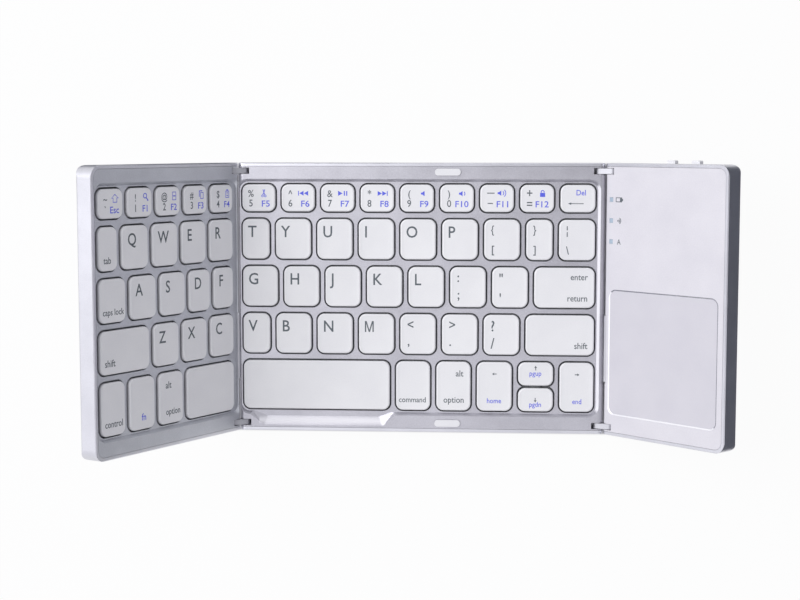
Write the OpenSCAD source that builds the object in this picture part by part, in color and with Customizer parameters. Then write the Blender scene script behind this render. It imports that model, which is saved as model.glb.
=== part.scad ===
// Folding keyboard in three panels: a centre panel that lies on the table, a left wing with keys
// and a right wing with a touchpad. Each wing turns on two links, and each link turns on two pins.
// X runs to the right, Y to the back and Z up. The origin is on the table under the centre panel.
// Every wing is written flat, from its hinge line outwards, and is then raised to its fold angle.

/* [Fold] */
// Angle of the left wing above flat
left_fold = 60.8; // [0:0.1:180]
// Angle of the right wing above flat
right_fold = 43.7; // [0:0.1:180]

/* [Panels] */
// Thickness of a panel, from its underside to the top of its rim
panel_t = 7; // [6.8:0.1:9]
// Thickness of a tray's floor
floor_t = 1; // [0.8:0.1:1.2]
// Thickness of a tray's outer walls
wall_t = 1.2; // [1:0.05:1.3]
// Thickness of a tray's low wall along a seam
seam_wall_t = 0.7; // [0.5:0.05:0.8]
// Gap between two panels that lie flat
seam_gap = 0.7; // [0.6:0.05:0.8]
// Gap between a deck and the tray round it
shell_gap = 0.1; // [0.05:0.01:0.15]
// Corner radius of a wing's outer corners, seen from above
outer_r = 4; // [3:0.1:6]
// Corner radius of a panel's corners beside a seam
seam_corner_r = 1; // [0.5:0.1:1.1]
// Radius of the rounded edge round the underside
under_r = 1; // [0.4:0.1:1.2]
// Bevel of a tray's top edge
top_bevel = 0.3; // [0.1:0.05:0.5]
// Distance from the right hinge line to the right wing's outer edge
right_w = 54.2; // [54:0.1:64]

/* [Key field] */
// Width of a letter key's opening
letter_w = 13.92; // [13.2:0.01:14.4]
// Width of a number key's opening
number_w = 13.18; // [12.4:0.01:13.5]
// Width of the short openings of T and V beside the left seam
seam_key_w = 10.98; // [9.8:0.01:11.5]
// Width of the right bracket's opening
bracket_w = 10.53; // [9.6:0.01:11]
// Width of the enter key's opening
enter_w = 22.7; // [21:0.01:24]
// Width of the caps lock key's opening
caps_w = 13.58; // [12.8:0.01:14.2]
// Width of the D key's opening
short_d_w = 12.33; // [11.5:0.01:12.8]
// Width of the F key's opening
short_f_w = 11.88; // [11:0.01:12.4]
// Width of the space bar's opening
space_w = 54.63; // [52:0.01:56]
// Width of the left wing's space key's opening
left_space_w = 27.13; // [25.5:0.01:28]
// Width of a modifier key's opening
modifier_w = 13.53; // [12.8:0.01:13.9]
// Width of an arrow key's opening
arrow_w = 13.73; // [13:0.01:14.1]
// Depth of the number row's openings
number_h = 10.93; // [10:0.01:12]
// Depth of a letter row's openings
letter_h = 15.63; // [14.6:0.01:16]
// Depth of the space bar row's openings
bottom_h = 19; // [17.8:0.1:20]
// Bar between two openings of one row
key_bar_w = 1.16; // [1:0.01:1.8]
// Bar between two rows
row_bar_w = 1.55; // [1.3:0.01:2.3]
// Rim behind the rows, from the openings to the back edge
back_rim = 7.23; // [7.2:0.01:9]
// Rim in front of the rows, from the openings to the front edge
front_rim = 7.35; // [7.2:0.01:9]
// Margin from the left hinge line to the centre panel's openings
centre_left_margin = 1.35; // [1.05:0.01:2]
// Margin from the centre panel's openings to the right hinge line
centre_right_margin = 3.39; // [3.3:0.01:4.5]
// Margin from the left wing's outer edge to its openings
wing_outer_margin = 2.75; // [2.5:0.01:4]
// Margin from the left wing's openings to the hinge line
wing_seam_margin = 3.48; // [3:0.01:4.5]

/* [Keys] */
// Gap round a keycap in its opening
key_gap = 0.58; // [0.35:0.01:0.65]
// Corner radius of a keycap
key_r = 2.5; // [1.8:0.1:3]
// Bevel of a keycap's top edge
key_bevel = 0.45; // [0.2:0.05:0.6]
// Thickness of a keycap
cap_t = 1.8; // [1.5:0.05:1.9]
// Distance from the rim's top down to the keycaps' tops
cap_drop = 0.25; // [0.15:0.05:0.5]
// Travel of a key
key_travel = 1.1; // [0.8:0.05:1.15]
// Radius of the stem under a keycap
stem_r = 1.8; // [1.2:0.1:2.2]
// Gap between the upper and the lower half key of the arrow block
half_key_gap = 0.95; // [0.6:0.05:1.4]
// Overlap of the two openings in which the half keys stand
half_key_join = 0.25; // [0.1:0.05:0.4]

/* [Deck] */
// Thickness of a deck between its keys
deck_t = 1.2; // [0.9:0.1:1.3]
// Depth of the key field below the rim
dish_h = 1.3; // [1:0.05:1.5]
// Distance from the openings to the foot of the dish's slope
dish_ledge = 0.4; // [0.2:0.05:0.5]
// Width of the dish's slope, seen from above
dish_slope = 1; // [0.6:0.05:1.1]
// Corner radius of the dish's floor
dish_r = 3; // [2.8:0.1:3.6]
// Width of the thumb scoop in front of the space bar, measured along its floor
scoop_w = 43.5; // [40:0.5:46]
// Distance from the space bar's left end to the scoop's floor
scoop_x = 7.9; // [7:0.1:9]
// Distance that the scoop's ends spread from the floor's front to its back
scoop_spread = 4.6; // [3:0.1:5]
// Depth of the scoop's floor, from the openings forwards
scoop_d = 2.1; // [2:0.1:2.3]
// Width of the slope at the scoop's front
scoop_slope = 3.2; // [1.5:0.1:3.3]
// Width of the slope at the scoop's ends
scoop_end = 2.4; // [1.5:0.1:2.6]
// Radius of the scoop's front corners
scoop_r = 1.6; // [1:0.1:1.8]

/* [Hinges] */
// Distance from a hinge line to the pivots on each side of it
pivot_x = 2.3; // [2.2:0.05:2.4]
// Radius of a link's round ends
link_r = 1.5; // [1.3:0.05:1.6]
// Thickness of a link along the seam
link_t = 1.9; // [1.6:0.05:2]
// Distance from the front or back edge to the middle of a link
link_inset = 2.9; // [2.8:0.05:3]
// Gap on each face of a link in its slot
link_gap = 0.2; // [0.15:0.01:0.25]
// Gap between a link's end and the end of its slot
slot_end_gap = 0.8; // [0.4:0.05:1]
// Length of the block beside a seam that carries a pin
block_w = 5.4; // [5:0.1:6]
// Distance from the front or back edge to the inner face of that block
block_inset = 5.6; // [5.5:0.1:6]
// Radius of a hinge pin
pin_r = 0.6; // [0.5:0.05:0.7]
// Running clearance between a pin and a link
pin_play = 0.05; // [0.03:0.01:0.08]
// Clearance between a pin and the blocks that hold it
pin_seat = 0.02; // [0.01:0.01:0.03]
// Length of a hinge pin
pin_l = 4.5; // [4.3:0.05:4.55]
// Wall left outside the end of a hinge pin
pin_cover = 0.6; // [0.5:0.05:0.7]

/* [Cable ribbons] */
// Width of a cable ribbon along the seam
ribbon_w = 24.1; // [20:0.1:30]
// Distance of a ribbon's middle in front of the panel's middle
ribbon_y = 17.95; // [15:0.05:22]
// Radius of the ribbon's rounded middle stretch
ribbon_r = 0.65; // [0.5:0.05:0.7]
// Distance of the ribbon below the pivots
ribbon_drop = 1.1; // [1:0.05:1.15]
// Gap between a ribbon and the parts beside it
ribbon_gap = 0.15; // [0.1:0.01:0.2]
// Gap at each end of a ribbon
ribbon_end_gap = 0.35; // [0.2:0.05:0.5]

/* [Feet, pads and screws] */
// Height of a foot below its panel
foot_h = 0.5; // [0.3:0.05:0.8]
// Radius of a foot
foot_r = 3.5; // [2.5:0.1:4.5]
// Depth of the recess that a foot or a pad is glued into
seat_h = 0.3; // [0.2:0.05:0.4]
// Gap round a foot or a pad in its recess
seat_gap = 0.1; // [0.05:0.01:0.15]
// Distance from a panel's edges to the middle of a foot
foot_inset = 9; // [8.6:0.1:12]
// Length of a bumper pad
pad_l = 9.3; // [8:0.1:11]
// Width of a bumper pad
pad_w = 2.5; // [2:0.1:2.8]
// Height of a bumper pad above the rim
pad_h = 0.5; // [0.3:0.05:0.55]
// Distance of the pads right of the centre panel's middle
pad_x = 9.87; // [8:0.01:12]
// Distance from the front or back edge to the middle of a pad or a screw
rim_line = 3.3; // [3.2:0.05:3.5]
// Radius of a screw's shank
screw_r = 0.6; // [0.5:0.05:0.7]
// Radius of a screw's head
screw_head_r = 1.4; // [1.2:0.05:1.5]
// Height of a screw's head
screw_head_h = 0.5; // [0.4:0.05:0.6]
// Length of a screw below its head
screw_l = 3.4; // [2.6:0.1:3.8]
// Wall of the deck round a screw
boss_wall = 0.9; // [0.7:0.05:1]
// Clearance round a screw in the boss and in the floor
screw_gap = 0.05; // [0.02:0.01:0.08]
// Distance of the outer screws from the centre panel's middle
screw_x = 44; // [35:1:50]
// Distance from a hinge line to a wing's inner screws
wing_screw_x = 7.5; // [7.4:0.05:8]
// Distance from a wing's outer edge to its outer screws
wing_screw_inset = 6; // [5.6:0.1:7]

/* [Layers under the keys] */
// Thickness of the circuit membrane
membrane_t = 0.4; // [0.3:0.05:0.5]
// Thickness of the rubber dome sheet
sheet_t = 0.4; // [0.3:0.05:0.5]
// Height of a pressed dome above its sheet
dome_h = 0.85; // [0.6:0.05:0.9]
// Radius of a dome's foot
dome_r = 2.6; // [2:0.1:3]

/* [Touchpad wing] */
// Thickness of the right wing's cover
cover_t = 1.6; // [1.5:0.05:1.7]
// Depth of the touchpad's bevelled opening
touch_d = 45.1; // [40:0.1:46]
// Distance from the hinge line to the touchpad's opening
touch_x = 3; // [2.9:0.1:3.2]
// Distance from the touchpad's opening to the wing's outer edge
touch_margin = 3.5; // [3.3:0.1:7]
// Distance from the front edge to the touchpad's opening
touch_y = 7.6; // [7.4:0.1:10]
// Corner radius of the touchpad
touch_r = 2.4; // [1.5:0.1:3]
// Distance that the touchpad lies below the cover
touch_drop = 0.3; // [0.2:0.05:0.5]
// Width of the bevel round the touchpad
touch_bevel = 0.5; // [0.3:0.05:0.6]
// Gap round the touchpad
touch_gap = 0.1; // [0.05:0.01:0.15]
// Thickness of the touch sensor's board
touch_board_t = 0.8; // [0.6:0.1:1]
// Width that the sensor's board reaches past the touchpad on each side
touch_board_over = 1; // [0.6:0.1:1.2]
// Width of an indicator light's window
led_w = 1.5; // [1.2:0.1:1.7]
// Distance from the hinge line to the middle of the windows
led_x = 3.6; // [2.7:0.05:4.2]
// Distance from the back edge to the middle of the last window
led_y = 12.9; // [12:0.1:14]
// Distance between the windows
led_pitch = 7.45; // [6:0.05:8]
// Gap round a window in its hole
led_gap = 0.06; // [0.03:0.01:0.1]

/* [Board and battery] */
// Thickness of the main board
board_t = 0.8; // [0.6:0.1:1]
// Height of the main board above the floor
board_lift = 0.5; // [0.4:0.05:0.7]
// Gap between the main board and the wall along the seam
board_gap = 0.5; // [0.4:0.05:0.8]
// Distance from the main board to the wing's outer edge
board_margin = 8.65; // [8.5:0.05:12]
// Depth of the main board
board_d = 30.5; // [28:0.5:32]
// Distance from the back edge to the main board
board_inset = 6.3; // [6:0.1:7]
// Width of the battery
battery_w = 40; // [30:1:44]
// Depth of the battery
battery_d = 28; // [20:1:32]
// Thickness of the battery
battery_t = 2.9; // [2:0.1:3]
// Height of the components on the board
chip_h = 0.9; // [0.7:0.1:1.2]

/* [Charging socket, switch and button] */
// Width of the charging socket's shell
port_w = 7.6; // [7.4:0.1:8]
// Height of the charging socket's shell
port_h = 2.8; // [2.6:0.1:2.9]
// Depth of the charging socket's shell
port_d = 5.4; // [5:0.1:6]
// Sheet thickness of the charging socket's shell
port_sheet = 0.3; // [0.25:0.05:0.4]
// Gap between the charging socket and the screw beside it
port_clear = 1.15; // [1:0.05:2]
// Width of the power switch's knob
knob_w = 3.5; // [3:0.1:4]
// Width of the pairing button
button_w = 3.4; // [3:0.1:4]
// Height of the knob and of the button
knob_h = 1.8; // [1.5:0.1:2]
// Distance that the knob and the button stand out of the back edge
knob_out = 1.2; // [0.8:0.1:1.5]
// Distance from the wing's outer edge to the middle of the button
button_inset = 15.7; // [15:0.05:17]
// Distance between the middles of the knob and the button
control_pitch = 10.65; // [10:0.05:12]
// Height of the middles of the knob and the button above the board
control_lift = 1.35; // [1.2:0.05:1.4]
// Travel of the power switch's knob
knob_travel = 2; // [1.5:0.1:2.2]
// Travel of the pairing button
button_travel = 0.5; // [0.3:0.05:0.6]
// Gap round the knob and the button in their openings
knob_gap = 0.15; // [0.1:0.01:0.2]
// Thickness of the flange that keeps the knob and the button in
flange_t = 0.9; // [0.7:0.05:1]
// Distance that the button's flange reaches past it
flange_over = 0.8; // [0.5:0.05:1]
// Gap between a flange and the switch behind it
switch_gap = 0.1; // [0.05:0.01:0.15]

/* [Hidden] */
$fn = 48;

// Small overlap that lets a cut run past the face it opens
cut = 0.5;

// Rows of openings from back to front. A width of 0 takes what the row has left.
left_rows = [
  [0, number_w, number_w, number_w, number_w],
  [0, letter_w, letter_w, letter_w, letter_w],
  [caps_w, letter_w, letter_w, short_d_w, short_f_w],
  [0, letter_w, letter_w, letter_w],
  [0, modifier_w, modifier_w, left_space_w]
];
centre_rows = [
  [number_w, number_w, number_w, number_w, number_w, number_w, number_w, number_w, 0],
  [seam_key_w, letter_w, letter_w, letter_w, letter_w, letter_w, letter_w, bracket_w, 0],
  [letter_w, letter_w, letter_w, letter_w, letter_w, letter_w, letter_w, enter_w],
  [seam_key_w, letter_w, letter_w, letter_w, letter_w, letter_w, letter_w, 0],
  [space_w, modifier_w, modifier_w, arrow_w, arrow_w, 0]
];
row_heights = [number_h, letter_h, letter_h, letter_h, bottom_h];
// Place of the home row, whose widths are all given and set the width of the field
home_row = 2;
// Place of the row with the space bar and the arrows, and of the split key in it
bottom_row = 4;
split_key = 4;

function sum(list, count, i = 0) = i >= count ? 0 : list[i] + sum(list, count, i + 1);
function row_width(row) = sum(row, len(row)) + key_bar_w * (len(row) - 1);
function filled(row, field) = [for (w = row) w > 0 ? w : field - row_width(row)];
function row_back(r) = field_back - sum(row_heights, r) - row_bar_w * r;
function key_left(row, i) = sum(row, i) + key_bar_w * i;

rows_d = sum(row_heights, len(row_heights)) + row_bar_w * (len(row_heights) - 1);
panel_d = back_rim + rows_d + front_rim;
half_d = panel_d / 2;
field_back = half_d - back_rim;
field_front = field_back - rows_d;

centre_field = row_width(centre_rows[home_row]);
left_field = row_width(left_rows[home_row]);
centre_w = centre_left_margin + centre_field + centre_right_margin;
left_w = wing_outer_margin + left_field + wing_seam_margin;
hinge_x = centre_w / 2;
centre_start = centre_left_margin - hinge_x;
left_start = wing_outer_margin - left_w;

rim_z = foot_h + panel_t;
floor_z = foot_h + floor_t;
deck_z = rim_z - dish_h;
deck_under = deck_z - deck_t;
cap_top = rim_z - cap_drop;
cap_under = cap_top - cap_t;
sheet_z = floor_z + membrane_t;
dome_top = sheet_z + sheet_t + dome_h;
// Clearance between a fully pressed key's stem and its dome
stem_gap = 0.05;
stem_under = dome_top + stem_gap + key_travel;

half_gap = seam_gap / 2;
edge_r = pivot_x - half_gap;
pivot_z = rim_z - edge_r;
slot_l = pivot_x + link_r + slot_end_gap;
slot_w = link_t + 2 * link_gap;
link_y = half_d - link_inset;
block_y = half_d - block_inset;
// Height of a pin block below the pivots
block_drop = 1.9;
block_under = pivot_z - block_drop;
pin_out = half_d - pin_cover;
pin_in = pin_out - pin_l;
deck_half_d = half_d - wall_t - shell_gap;
deck_outer_r = outer_r - wall_t - shell_gap;
rim_y = half_d - rim_line;
boss_r = screw_r + screw_gap + boss_wall;

// Reach of the ribbon from a pivot, and the radius to which the edge beside it is cut back
ribbon_reach = sqrt(pivot_x * pivot_x + ribbon_drop * ribbon_drop);
barrel_r = ribbon_reach - ribbon_r - ribbon_gap;
barrel_cut = pivot_x - ribbon_drop + ribbon_r + ribbon_gap;
ribbon_window = 1.5;

cover_under = rim_z - cover_t;
board_z = floor_z + board_lift;
board_top = board_z + board_t;
board_x = half_gap + seam_wall_t + board_gap;
board_w = right_w - board_x - board_margin;
board_back = half_d - board_inset;
port_x = wing_screw_x + boss_r + port_clear + port_w / 2;
button_x = right_w - button_inset;
knob_x = button_x - control_pitch;
control_z = board_top + control_lift;
// The strip of the board along the back wall that carries the socket and the switches
port_side = 0.6;
button_side = 2;
strip_x = port_x - port_w / 2 - port_side;
strip_w = button_x + button_w / 2 + button_side - strip_x;
strip_gap = 0.8;
wall_in = half_d - wall_t;
flange_gap = 0.1;
flange_y = wall_in - flange_gap - flange_t;
flange_h = knob_h + 0.5;
touch_z = rim_z - touch_drop;
touch_w = right_w - touch_x - touch_margin;
touch_front = touch_y - half_d;

// Edges and corners

// Places what is written for a panel on the +X side of its seam at the seam X = x.
// A facing of -1 turns it over for a panel on the -X side.
module at_seam(x, facing) {
  translate([x, 0, 0])
    mirror([facing < 0 ? 1 : 0, 0, 0])
      children();
}

module turned(x, z, angle) {
  translate([x, 0, z])
    rotate([0, angle, 0])
      translate([-x, 0, -z])
        children();
}

// Raises a link by half the fold angle about the centre panel's pins
module link_pose(side, fold) {
  turned(side * (hinge_x - pivot_x), pivot_z, -side * fold / 2)
    children();
}

// Raises a wing by the other half about the link's outer pins
module wing_pose(side, fold) {
  link_pose(side, fold)
    turned(side * (hinge_x + pivot_x), pivot_z, -side * fold / 2)
      translate([side * hinge_x, 0, 0])
        children();
}

module rounded_rect(x0, x1, y0, y1, r) {
  translate([x0 + r, y0])
    square([x1 - x0 - 2 * r, y1 - y0]);
  translate([x0, y0 + r])
    square([x1 - x0, y1 - y0 - 2 * r]);
  for (x = [x0 + r, x1 - r], y = [y0 + r, y1 - r])
    translate([x, y])
      circle(r);
}

// Slab whose outline grows by a given width over its height, with round corners
module flared_slab(x0, x1, y0, y1, z0, h, r, grow) {
  for (x = [x0 + r, x1 - r], y = [y0 + r, y1 - r])
    translate([x, y, z0])
      cylinder(h = h, r1 = r, r2 = r + grow);
  translate([0, y1 - r, z0])
    rotate([90, 0, 0])
      linear_extrude(y1 - y0 - 2 * r)
        polygon([[x0, 0], [x1, 0], [x1 + grow, h], [x0 - grow, h]]);
  translate([x0 + r, 0, z0])
    rotate([90, 0, 90])
      linear_extrude(x1 - x0 - 2 * r)
        polygon([[y0, 0], [y1, 0], [y1 + grow, h], [y0 - grow, h]]);
}

// Slab with upright sides, round corners and a bevelled top edge
module bevelled_slab(x0, x1, y0, y1, z0, z1, r, bevel) {
  translate([0, 0, z0])
    linear_extrude(z1 - z0 - bevel)
      rounded_rect(x0, x1, y0, y1, r);
  flared_slab(x0, x1, y0, y1, z1 - bevel, bevel, r, -bevel);
}

// Outline of a panel that has its seam near X = x0 and its free edge at X = x1
module panel_plan(x0, x1, half_y, r0, r1) {
  translate([x0 + r0, -half_y])
    square([x1 - x0 - r0 - r1, 2 * half_y]);
  translate([x0, -half_y + r0])
    square([r0, 2 * (half_y - r0)]);
  translate([x1 - r1, -half_y + r1])
    square([r1, 2 * (half_y - r1)]);
  for (y = [-half_y + r0, half_y - r0])
    translate([x0 + r0, y])
      circle(r0);
  for (y = [-half_y + r1, half_y - r1])
    translate([x1 - r1, y])
      circle(r1);
}

// Section of a panel: rounded along the underside and bevelled along the top
module panel_section(v0, v1) {
  translate([v0, foot_h + under_r])
    square([v1 - v0, panel_t - under_r - top_bevel]);
  translate([v0 + under_r, foot_h])
    square([v1 - v0 - 2 * under_r, panel_t / 2]);
  for (v = [v0 + under_r, v1 - under_r])
    translate([v, foot_h + under_r])
      circle(under_r);
  translate([0, rim_z - top_bevel])
    polygon([[v0, 0], [v1, 0], [v1 - top_bevel, top_bevel], [v0 + top_bevel, top_bevel]]);
}

// Hinge features, written for the panel on the +X side of a seam at X = 0

// What is cut away to round the upper edge about the pivots, so that two panels pass as they fold
module seam_round() {
  difference() {
    translate([-cut, -half_d - cut, pivot_z])
      cube([pivot_x + cut, panel_d + 2 * cut, edge_r + cut]);
    translate([pivot_x, 0, pivot_z])
      rotate([90, 0, 0])
        cylinder(h = panel_d + 4 * cut, r = edge_r, center = true);
  }
}

module link_slots() {
  for (side = [-1, 1])
    translate([-cut, side * link_y - slot_w / 2, block_under - cut])
      cube([slot_l + cut, slot_w, rim_z - block_under + 2 * cut]);
}

module pins(r) {
  for (side = [-1, 1])
    translate([pivot_x, side * (pin_in + pin_out) / 2, pivot_z])
      rotate([90, 0, 0])
        cylinder(h = pin_l, r = r, center = true);
}

module pin_blocks(top) {
  for (side = [-1, 1])
    translate([half_gap, side > 0 ? block_y : -deck_half_d, block_under])
      cube([block_w - half_gap, deck_half_d - block_y, top - block_under]);
}

// Room for the ribbon in the deck, which leaves a round edge about the pivots
module ribbon_room() {
  width = ribbon_w + 2 * ribbon_end_gap;
  difference() {
    translate([-cut, -ribbon_y - width / 2, deck_under - cut])
      cube([barrel_cut + cut, width, rim_z - deck_under + 2 * cut]);
    translate([pivot_x, -ribbon_y, pivot_z])
      rotate([90, 0, 0])
        cylinder(h = width + cut, r = barrel_r, center = true);
  }
}

// Opening of a tray beside a seam: low wall, lower still at the pin blocks, window for the ribbon
module seam_opening(under) {
  width = ribbon_w + 2 * ribbon_end_gap;
  low = under - shell_gap / 2;
  block_low = block_under - shell_gap / 2;
  window = 2 * half_gap + seam_wall_t + cut;
  translate([-cut, -wall_in, low])
    cube([window, 2 * wall_in, rim_z - low + cut]);
  for (side = [-1, 1])
    translate([-cut, side > 0 ? block_y - shell_gap : -wall_in, block_low])
      cube([window, wall_in - block_y + shell_gap, rim_z - block_low + cut]);
  translate([-cut, -ribbon_y - width / 2, floor_z + ribbon_window])
    cube([window, width, rim_z]);
}

// Trays

// Recesses for feet and holes for screws in a tray's floor
module floor_cuts(feet, screws) {
  for (at = feet)
    translate([at[0], at[1], foot_h - cut])
      cylinder(h = seat_h + cut, r = foot_r + seat_gap);
  for (at = screws) {
    translate([at[0], at[1], foot_h - cut])
      cylinder(h = screw_head_h + cut, r = screw_head_r + screw_gap);
    translate([at[0], at[1], foot_h])
      cylinder(h = floor_t + cut, r = screw_r + screw_gap);
  }
}

module tray_body(x0, x1, r0, r1) {
  intersection() {
    translate([0, 0, foot_h])
      linear_extrude(panel_t)
        panel_plan(x0, x1, half_d, r0, r1);
    translate([x0 - cut, 0, 0])
      rotate([90, 0, 90])
        linear_extrude(x1 - x0 + 2 * cut)
          panel_section(-half_d, half_d);
  }
}

module wing_tray(w, under, feet, screws) {
  difference() {
    intersection() {
      tray_body(half_gap, w, seam_corner_r, outer_r);
      translate([0, half_d, 0])
        rotate([90, 0, 0])
          linear_extrude(panel_d)
            panel_section(-2 * under_r, w);
    }
    translate([0, 0, floor_z])
      linear_extrude(panel_t)
        panel_plan(half_gap + seam_wall_t, w - wall_t, wall_in, under_r / 2, outer_r - wall_t);
    seam_opening(under);
    seam_round();
    pins(pin_r + pin_seat);
    floor_cuts(feet, screws);
  }
}

function centre_feet_at() = [
  for (x = [-1, 1], y = [-1, 1]) [x * (hinge_x - foot_inset), y * (half_d - foot_inset)]
];
function wing_feet_at(w) = [for (y = [-1, 1]) [w - foot_inset, y * (half_d - foot_inset)]];
function centre_screws_at() = [for (x = [-1, 0, 1], y = [-1, 1]) [x * screw_x, y * rim_y]];
function wing_screws_at(w) = [
  for (x = [wing_screw_x, w - wing_screw_inset], y = [-1, 1]) [x, y * rim_y]
];

module centre_tray() {
  inner = hinge_x - half_gap - seam_wall_t;
  color([0.80, 0.80, 0.83])
    difference() {
      tray_body(half_gap - hinge_x, hinge_x - half_gap, seam_corner_r, seam_corner_r);
      translate([-inner, -wall_in, floor_z])
        cube([2 * inner, 2 * wall_in, panel_t]);
      for (side = [-1, 1])
        at_seam(side * hinge_x, -side) {
          seam_opening(deck_under);
          seam_round();
          pins(pin_r + pin_seat);
        }
      floor_cuts(centre_feet_at(), centre_screws_at());
    }
}

module left_tray() {
  color([0.80, 0.80, 0.83])
    wing_pose(-1, left_fold)
      mirror([1, 0, 0])
        wing_tray(left_w, deck_under, wing_feet_at(left_w), wing_screws_at(left_w));
}

// Openings in the back wall of the right tray for the socket, the knob and the button
module back_wall_cuts() {
  slot_h = knob_h + 2 * knob_gap;
  port_gap = 0.1;
  translate([port_x - port_w / 2 - port_gap, wall_in - cut, board_top - port_gap])
    cube([port_w + 2 * port_gap, wall_t + 2 * cut, port_h + 2 * port_gap]);
  translate([knob_x - knob_w / 2 - knob_gap, wall_in - cut, control_z - slot_h / 2])
    cube([knob_w + knob_travel + 2 * knob_gap, wall_t + 2 * cut, slot_h]);
  translate([button_x - button_w / 2 - knob_gap, wall_in - cut, control_z - slot_h / 2])
    cube([button_w + 2 * knob_gap, wall_t + 2 * cut, slot_h]);
}

module right_tray() {
  color([0.80, 0.80, 0.83])
    wing_pose(1, right_fold) {
      difference() {
        wing_tray(right_w, cover_under, wing_feet_at(right_w), wing_screws_at(right_w));
        back_wall_cuts();
      }
    }
}

// Decks

// Openings of all rows. The split opening, where there is one, is drawn by itself.
module key_openings(rows, field, start, split = []) {
  r = key_r + key_gap;
  for (i = [0 : len(rows) - 1]) {
    row = filled(rows[i], field);
    for (k = [0 : len(row) - 1]) {
      x = start + key_left(row, k);
      if ([i, k] != split)
        rounded_rect(x, x + row[k], row_back(i) - row_heights[i], row_back(i), r);
    }
  }
}

// Two openings that run into each other between the half keys of the arrow block
module split_opening() {
  row = filled(centre_rows[bottom_row], centre_field);
  x = centre_start + key_left(row, split_key);
  back = row_back(bottom_row);
  front = back - bottom_h;
  middle = (back + front) / 2;
  for (span = [[front, middle + half_key_join], [middle - half_key_join, back]])
    rounded_rect(x, x + row[split_key], span[0], span[1], key_r + key_gap);
}

// Sunken field with sloping sides, from X = x0 to x1 along its floor
module dish(x0, x1) {
  above = 1.4;
  flared_slab(x0, x1, field_front - dish_ledge, field_back + dish_ledge,
    deck_z, dish_h * above, dish_r, dish_slope * above);
}

module bosses(screws, top) {
  for (at = screws)
    translate([at[0], at[1], floor_z])
      cylinder(h = top - floor_z, r = boss_r);
}

module boss_bores(screws) {
  for (at = screws)
    translate([at[0], at[1], floor_z - cut])
      cylinder(h = foot_h + screw_head_h + screw_l - floor_z + 2 * cut, r = screw_r + screw_gap);
}

module seam_cuts() {
  seam_round();
  link_slots();
  pins(pin_r + pin_seat);
  ribbon_room();
}

// Outline of the thumb scoop at one height, wider than its floor by side at the ends
module scoop_outline(side, front) {
  floor_l = centre_start + scoop_x;
  left = floor_l - side / 2 + scoop_r;
  right = floor_l + scoop_w + side / 2 - scoop_r;
  back = field_front - dish_ledge + cut;
  spread = scoop_spread + side;
  polygon([[floor_l - spread, back], [left, front], [right, front],
    [floor_l + scoop_w + spread, back]]);
  for (x = [left, right])
    translate([x, front + scoop_r])
      circle(scoop_r, $fn = 32);
}

// Thumb scoop in the front rim, with a sloping front and sloping ends
module thumb_scoop() {
  front = field_front - scoop_d;
  sliver = 0.01;
  hull() {
    translate([0, 0, deck_z])
      linear_extrude(sliver)
        scoop_outline(0, front);
    translate([0, 0, rim_z])
      linear_extrude(cut)
        scoop_outline(scoop_end, front - scoop_slope);
  }
}

module pad_shape(grow, z0, z1) {
  for (side = [-1, 1])
    translate([pad_x, side * rim_y, z0])
      linear_extrude(z1 - z0)
        rounded_rect(-pad_l / 2 - grow, pad_l / 2 + grow, -pad_w / 2 - grow, pad_w / 2 + grow,
          pad_w / 2 + grow - 0.05);
}

module centre_deck() {
  edge = hinge_x - half_gap;
  color([0.75, 0.75, 0.79])
    difference() {
      union() {
        translate([-edge, -deck_half_d, deck_under])
          cube([2 * edge, 2 * deck_half_d, rim_z - deck_under]);
        for (side = [-1, 1])
          at_seam(side * hinge_x, -side)
            pin_blocks(rim_z);
        bosses(centre_screws_at(), rim_z);
      }
      dish(centre_start - dish_ledge, centre_start + centre_field + dish_ledge);
      translate([0, 0, deck_under - cut])
        linear_extrude(deck_t + 2 * cut) {
          key_openings(centre_rows, centre_field, centre_start, [bottom_row, split_key]);
          split_opening();
        }
      for (side = [-1, 1])
        at_seam(side * hinge_x, -side)
          seam_cuts();
      thumb_scoop();
      boss_bores(centre_screws_at());
      pad_shape(seat_gap, rim_z - seat_h, rim_z + cut);
    }
}

module left_deck() {
  color([0.75, 0.75, 0.79])
    wing_pose(-1, left_fold)
      difference() {
        mirror([1, 0, 0])
          union() {
            translate([0, 0, deck_under])
              linear_extrude(rim_z - deck_under)
                panel_plan(half_gap, left_w - wall_t - shell_gap, deck_half_d, 0.01, deck_outer_r);
            pin_blocks(rim_z);
            bosses(wing_screws_at(left_w), rim_z);
          }
        dish(left_start - dish_ledge, -half_gap - dish_ledge);
        translate([0, 0, deck_under - cut])
          linear_extrude(deck_t + 2 * cut)
            key_openings(left_rows, left_field, left_start);
        mirror([1, 0, 0]) {
          seam_cuts();
          boss_bores(wing_screws_at(left_w));
        }
      }
}

// Layers under the keys

module membrane(field, start) {
  translate([start, field_front, floor_z])
    cube([field, rows_d, membrane_t]);
}

// Rubber sheet with one dome under each key, drawn at the height it has when its key is down
module domes(rows, field, start) {
  translate([start, field_front, sheet_z])
    cube([field, rows_d, sheet_t]);
  for (i = [0 : len(rows) - 1]) {
    row = filled(rows[i], field);
    for (k = [0 : len(row) - 1])
      translate([start + key_left(row, k) + row[k] / 2, row_back(i) - row_heights[i] / 2, 0])
        dome();
  }
}

module dome() {
  translate([0, 0, sheet_z + sheet_t])
    cylinder(h = dome_h, r1 = dome_r, r2 = stem_r);
}

module centre_membrane() {
  color([0.10, 0.11, 0.11])
    membrane(centre_field, centre_start);
}

module centre_domes() {
  color([0.08, 0.08, 0.09])
    domes(centre_rows, centre_field, centre_start);
}

module left_membrane() {
  color([0.10, 0.11, 0.11])
    wing_pose(-1, left_fold)
      membrane(left_field, left_start);
}

module left_domes() {
  color([0.08, 0.08, 0.09])
    wing_pose(-1, left_fold)
      domes(left_rows, left_field, left_start);
}

// Keys

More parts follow.
